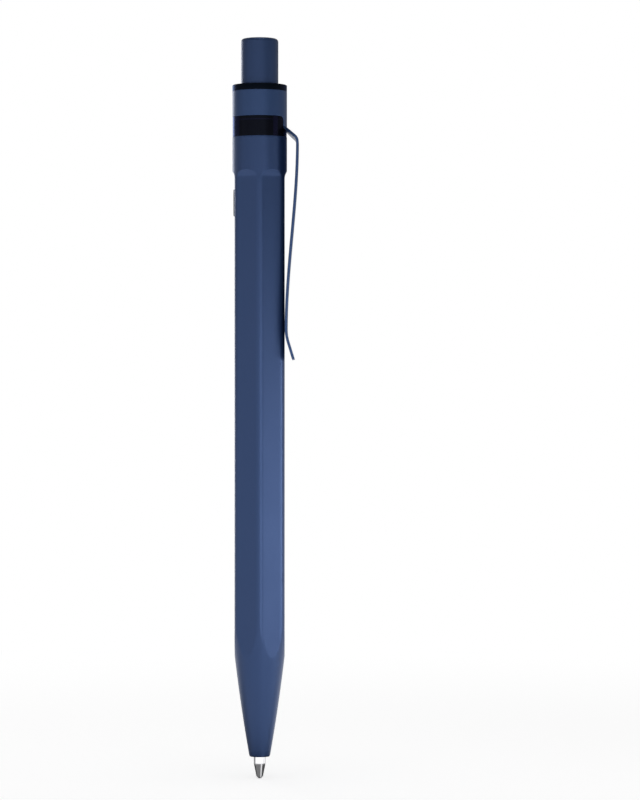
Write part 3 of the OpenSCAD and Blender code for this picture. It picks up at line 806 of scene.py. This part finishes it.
def band_piece(collar, neck_width):
    """Turns the window band and cuts the gap that the clip's neck stands in."""
    inside, ease = 4.63 * MM, 0.06 * MM
    outside = collar - 0.05 * MM - ease
    section = [(inside, Z_SEAT)] + arc(outside, Z_SEAT + ease, ease, -90, 0, 3)
    section += arc(outside, Z_RING - ease, ease, 0, 90, 3) + [(inside, Z_RING)]
    band = turn("window_band", section)
    gap, top, foot = neck_width + 0.1 * MM, Z_RING + 0.15 * MM, Z_ROOT - 0.4 * MM
    deselect_all()
    bpy.ops.mesh.primitive_cube_add(size=1, location=(collar, 0, (top + foot) / 2),
                                    scale=(2 * MM, gap, top - foot))
    cutter = bpy.context.object
    bpy.ops.object.transform_apply(location=True, rotation=True, scale=True)
    for side in (1, -1):
        pick_vertices(cutter, lambda v: v.co.z < foot + CLOSE and side * (v.co.x - collar) > 0)
        bpy.ops.transform.translate(value=(0, 0, -side * math.tan(ARM_SLOPE) * MM))
    bpy.ops.object.mode_set(mode="OBJECT")
    cut_away(band, cutter)
    return band


def rim_piece(collar):
    """Turns the rim with its skirt inside the ring."""
    bore, skirt, ease, chamfer = 3.63 * MM, 4.08 * MM, 0.15 * MM, 0.04 * MM
    foot = Z_RIM - 1.5 * MM
    section = [(bore, foot), (skirt, foot), (skirt, Z_RIM), (collar - chamfer, Z_RIM),
               (collar, Z_RIM + chamfer)]
    section += arc(collar - ease, Z_RIM_TOP - ease, ease, 0, 90, 5)
    section += arc(bore + ease, Z_RIM_TOP - ease, ease, 90, 180, 5)
    return turn("rim", section)


class PEN_OT_top(bpy.types.Operator):
    """Turns the smoked sleeve with its window band, and the rim above the ring"""
    bl_idname = "pen.top"
    bl_label = "Sleeve and rim"

    def execute(self, context):
        pen = context.scene.pen_top
        collar = context.scene.pen_barrel.collar_width / 2
        smoke = smoked("Window_Smoked", pen.window_colour, pen.rib_colour)
        for piece in (sleeve_piece(), band_piece(collar, context.scene.pen_clip.neck_width)):
            soften(piece)
            seat(piece, TOP_BODY, smoke, ["guide_sleeve"])
        rim = rim_piece(collar)
        soften(rim)
        black = plastic("Rim_Black", pen.rim_colour, rough=(0.32, 0.4), bump=0.04, metallic=0.6, shine=0.25,
                        gleam=(0.3, 0.5, 0.9))
        seat(rim, TOP_BODY, black, ["top_bush"])
        return {"FINISHED"}


class PEN_OT_button(bpy.types.Operator):
    """Turns the hollow push button with its rounded top edge"""
    bl_idname = "pen.button"
    bl_label = "Push button"

    def execute(self, context):
        pen = context.scene.pen_top
        radius = pen.button_width / 2
        skirt = radius - 0.05 * MM
        bore, ease, chamfer, roof = 2.65 * MM, 0.6 * MM, 0.12 * MM, 1.7 * MM
        section = [(bore, Z_BUTTON), (skirt - chamfer, Z_BUTTON), (skirt, Z_BUTTON + chamfer),
                   (skirt, Z_RIM_TOP + 0.25 * MM), (radius, Z_RIM_TOP + 0.3 * MM)]
        section += arc(radius - ease, Z_TOP - ease, ease, 0, 90, 8)
        section += [(1.8 * MM, Z_TOP), (0, Z_TOP), (0, Z_TOP - roof), (bore, Z_TOP - roof)]
        button = turn("button", section)
        soften(button)
        satin = plastic("Button_Satin", pen.button_colour, rough=(0.34, 0.4), bump=0.05, metallic=0.5)
        seat(button, "button", satin, ["push_button"])
        return {"FINISHED"}


class PEN_OT_tip(bpy.types.Operator):
    """Turns the metal tip with its socket, and the writing ball"""
    bl_idname = "pen.tip"
    bl_label = "Tip and ball"

    def execute(self, context):
        ball_radius, socket, ink_way, wide_way, tip_radius, tip_top = 0.5, 0.52, 0.18, 0.45, 1.1, 12.0
        inside = arc(0, ball_radius, socket, -18, 60, 13)
        inside += [(ink_way, 2.0), (wide_way, 2.8), (wide_way, tip_top)]
        outside = [(tip_radius, tip_top), (tip_radius, 3.0), (1.085, 2.75), (1.04, 2.5), (0.94, 2.0),
                   (0.84, 1.5), (0.74, 1.0), (0.69, 0.72), (0.66, 0.6), (0.6, 0.42), (0.56, 0.34)]
        tip = turn("tip", in_mm(inside + outside), 96)
        soften(tip, 30)
        nickel = metal("Tip_Nickel", (0.95, 0.95, 0.97), rough=(0.1, 0.18), edge=0.1)
        seat(tip, "refill", nickel, ["point_cone"])
        half_circle = in_mm(arc(0, ball_radius, ball_radius, -90, 90, 24))
        ball = turn("ball", [(abs(r), z) for r, z in half_circle], 48)
        soften(ball)
        carbide = metal("Ball_Carbide", (0.5, 0.5, 0.52), rough=(0.08, 0.16), bump=0.02)
        seat(ball, "ball", carbide, ["writing_ball"])
        return {"FINISHED"}


class PEN_OT_inner_parts(bpy.types.Operator):
    """Gives each inner node its moulded, clear or metal finish"""
    bl_idname = "pen.inner_parts"
    bl_label = "Inner parts"

    def execute(self, context):
        moulded = {"rough": (0.35, 0.45), "grain": 3500}
        white = plastic("Moulded_White", (0.72, 0.72, 0.68), **moulded)
        finishes = {
            "thrust_crown": plastic("Crown_Ivory", (0.68, 0.66, 0.58), **moulded),
            "rotor": plastic("Rotor_Red", (0.42, 0.03, 0.025), **moulded),
            "refill_plug": white,
            "tip_holder": white,
            "refill_tube": clear("Tube_Milky", (0.75, 0.79, 0.82)),
            "grease_follower": clear("Grease_Clear", (0.72, 0.66, 0.4), weight=0.6),
            "ink_column": plastic("Ink_Blue", (0.008, 0.014, 0.12), rough=(0.15, 0.22), bump=0.02),
            "return_spring": metal("Spring_Wire", (0.56, 0.56, 0.58), rough=(0.25, 0.35), rings=4000),
        }
        for node, material in finishes.items():
            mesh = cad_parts[node].data
            mesh.materials.clear()
            mesh.materials.append(material)
        return {"FINISHED"}


# Floor, room, lamps and camera

def floor_seen(tree, distance):
    """What the camera sees: a white floor with the pen's shadow on it, and plain white further off."""
    lit = add_node(tree, "ShaderNodeBsdfDiffuse", (0.82, 0.82, 0.82, 1))
    near = add_node(tree, "ShaderNodeAddShader", lit, add_node(tree, "ShaderNodeEmission", WHITE, 0.595))
    far = ramp(tree, distance, 0.08, 0.3)
    return add_node(tree, "ShaderNodeMixShader", far, near, add_node(tree, "ShaderNodeEmission", WHITE, 1))


def floor_painted_reflections(tree, place, distance, glossy):
    """What the pen mirrors, all painted reflections and painted shade that the camera never sees: a floor
    that is grey and dark near the tip, with a white streak at the front and a white sector at the back
    right. Distances from the tip are in metres."""
    x, y, _ = split_place(tree, place)
    angle = calculate(tree, "ARCTAN2", y, x)

    def between(start, full, still_full, end):
        """Mask that is 1 in a sector round the tip, with angles in degrees."""
        rising = ramp(tree, angle, math.radians(start), math.radians(full))
        falling = ramp(tree, angle, math.radians(still_full), math.radians(end), 1, 0)
        return calculate(tree, "MULTIPLY", rising, falling)

    def lightest(first, *others):
        for other in others:
            first = calculate(tree, "MAXIMUM", first, other)
        return first

    reach = calculate(tree, "SUBTRACT", distance, ramp(tree, y, -0.016, 0.004, 0, 0.03))
    clear_of_tip = ramp(tree, distance, 0.006, 0.022)
    # Painted reflections: in_front, further, streak and back_right make the floor glow in glossy rays only,
    # as highlights on the tip and nose.
    in_front = calculate(tree, "MULTIPLY", clear_of_tip, ramp(tree, y, -0.012, 0.012, 0.85, 0.15))
    further = ramp(tree, reach, 0.03, 0.06, 0, 0.8)
    streak = calculate(tree, "MULTIPLY", between(-70, -64, -40, -34), 0.6)
    ring = calculate(tree, "MULTIPLY", ramp(tree, distance, 0.01, 0.025),
                     ramp(tree, distance, 0.12, 0.25, 1, 0))
    back_right = calculate(tree, "MULTIPLY", between(-5, 15, 85, 100), ring)
    glow = calculate(tree, "MULTIPLY", lightest(in_front, further, streak, back_right), glossy)
    # Painted shade: near the tip, and more so on its right, the floor is grey for all but camera rays, as
    # dark lines on the tip.
    shade = lightest(clear_of_tip, ramp(tree, angle, math.radians(-36), math.radians(-30), 1, 0.4))
    grey = calculate(tree, "MULTIPLY", ramp(tree, reach, 0.006, 0.03, 0.42, 0.82), shade)
    dim = add_node(tree, "ShaderNodeBsdfDiffuse", grey)
    return add_node(tree, "ShaderNodeAddShader", dim, add_node(tree, "ShaderNodeEmission", WHITE, glow))


def floor_material():
    """White floor that keeps the shadow close to the pen and is plain white further off; for all but camera
    rays it carries painted reflections and painted shade.
    """
    material = bpy.data.materials.new("Floor_White")
    material.use_nodes = True
    tree = material.node_tree
    tree.nodes.clear()
    place = object_place(tree)
    length = tree.nodes.new("ShaderNodeVectorMath")
    length.operation = "LENGTH"
    tree.links.new(place, length.inputs[0])
    distance = length.outputs["Value"]
    path = tree.nodes.new("ShaderNodeLightPath").outputs
    seen = floor_seen(tree, distance)
    mirrored = floor_painted_reflections(tree, place, distance, path["Is Glossy Ray"])
    surface = add_node(tree, "ShaderNodeMixShader", path["Is Camera Ray"], mirrored, seen)
    end_with(tree, "ShaderNodeOutputMaterial", surface)
    return material


def set_room(scene, strength):
    """Lights the room evenly, and shows it plain white to the camera and through clear plastic."""
    world = scene.world or bpy.data.worlds.new("Room")
    scene.world = world
    world.use_nodes = True
    tree = world.node_tree
    tree.nodes.clear()
    path = tree.nodes.new("ShaderNodeLightPath").outputs
    seen = calculate(tree, "MAXIMUM", path["Is Camera Ray"], path["Is Transmission Ray"])
    room = add_node(tree, "ShaderNodeBackground", WHITE, strength)
    white = add_node(tree, "ShaderNodeBackground", WHITE, 1)
    end_with(tree, "ShaderNodeOutputWorld", add_node(tree, "ShaderNodeMixShader", seen, room, white))


def add_lamp(name, power, side, height, width, tall, away=0.7, aim=0.07, spread=180):
    """Adds a softbox at an angle round the pen from the camera's side, aimed at a height on the pen."""
    turned = math.radians(side)
    deselect_all()
    bpy.ops.object.light_add(
        type="AREA", location=(away * math.sin(turned), -away * math.cos(turned), height))
    lamp = bpy.context.object
    lamp.name = lamp.data.name = name
    lamp.data.shape = "RECTANGLE"
    lamp.data.size, lamp.data.size_y = width, tall
    lamp.data.energy = power
    lamp.data.spread = math.radians(spread)
    lamp.visible_camera = False
    lamp.rotation_euler = (math.atan2(away, height - aim), 0, turned)


def add_camera(scene, distance):
    """Adds the level camera, whose view is 152.4 mm tall at the pen."""
    right_of_pen, height, half_view = 11.49 * MM, 72.07 * MM, 76.2 * MM
    deselect_all()
    bpy.ops.object.camera_add(location=(right_of_pen, -distance, height), rotation=(math.pi / 2, 0, 0))
    camera = bpy.context.object
    camera.name = camera.data.name = "camera"
    camera.data.sensor_fit = "VERTICAL"
    camera.data.angle = 2 * math.atan(half_view / distance)
    camera.data.clip_start = 0.01
    scene.camera = camera


class PEN_OT_stage(bpy.types.Operator):
    """Sets the white floor, the room, the softboxes and the camera"""
    bl_idname = "pen.stage"
    bl_label = "Stage and camera"

    def execute(self, context):
        stage = context.scene.pen_stage
        deselect_all()
        bpy.ops.mesh.primitive_circle_add(vertices=96, radius=6, fill_type="NGON", location=(0, 0, 0))
        floor = bpy.context.object
        floor.name = floor.data.name = "floor"
        floor.data.materials.append(floor_material())
        add_lamp("softbox_front", stage.front_power, side=-5, height=0.08, width=0.9, tall=0.25)
        add_lamp("softbox_left", stage.left_power, side=-60, height=0.08, width=0.6, tall=0.25)
        add_lamp("softbox_back", stage.back_power, side=-150, height=0.12, width=0.3, tall=0.3)
        add_lamp("softbox_top", stage.top_power, side=0, height=0.745, width=0.3, tall=0.3, away=0.06)
        right_side = ((25, 0.92, 0.045, 0.2, 0.09, 35), (60, 0.39, 0.035, 0.2, 0.07, 27),
                      (80, 0.67, 0.045, 0.1, 0.09, 32))
        for side, share, height, width, tall, spread in right_side:
            add_lamp(f"softbox_right_{side}", stage.right_power * share, side, height, width, tall,
                     away=0.3, aim=height, spread=spread)
        set_room(context.scene, stage.sky)
        add_camera(context.scene, stage.camera_distance)
        context.scene.view_settings.view_transform = "Standard"
        return {"FINISHED"}


class PEN_PT_panel(bpy.types.Panel):
    """Lists the pen's pieces and their sizes and colours"""
    bl_idname = "PEN_PT_panel"
    bl_label = "Ballpoint Pen"
    bl_space_type = "VIEW_3D"
    bl_region_type = "UI"
    bl_category = "Pen"

    def draw(self, context):
        for operator in OPERATORS:
            self.layout.operator(operator.bl_idname)
        for name in SETTINGS:
            group = getattr(context.scene, name)
            box = self.layout.box()
            for key in group.bl_rna.properties.keys():
                if key not in ("rna_type", "name"):
                    box.prop(group, key)


OPERATORS = (PEN_OT_stage, PEN_OT_barrel, PEN_OT_back_pad, PEN_OT_clip, PEN_OT_top, PEN_OT_button,
             PEN_OT_tip, PEN_OT_inner_parts)
SETTINGS = {"pen_barrel": PEN_PG_barrel, "pen_clip": PEN_PG_clip, "pen_top": PEN_PG_top,
            "pen_stage": PEN_PG_stage}


def register():
    for group in SETTINGS.values():
        bpy.utils.register_class(group)
    for operator in OPERATORS:
        bpy.utils.register_class(operator)
    bpy.utils.register_class(PEN_PT_panel)
    for name, group in SETTINGS.items():
        setattr(bpy.types.Scene, name, PointerProperty(type=group))


def unregister():
    for name in SETTINGS:
        delattr(bpy.types.Scene, name)
    bpy.utils.unregister_class(PEN_PT_panel)
    for operator in reversed(OPERATORS):
        bpy.utils.unregister_class(operator)
    for group in reversed(list(SETTINGS.values())):
        bpy.utils.unregister_class(group)


def main():
    register()
    bpy.ops.pen.stage()
    bpy.ops.pen.barrel()
    bpy.ops.pen.back_pad()
    bpy.ops.pen.clip()
    bpy.ops.pen.top()
    bpy.ops.pen.button()
    bpy.ops.pen.tip()
    bpy.ops.pen.inner_parts()
    deselect_all()


if __name__ == "__main__":
    main()
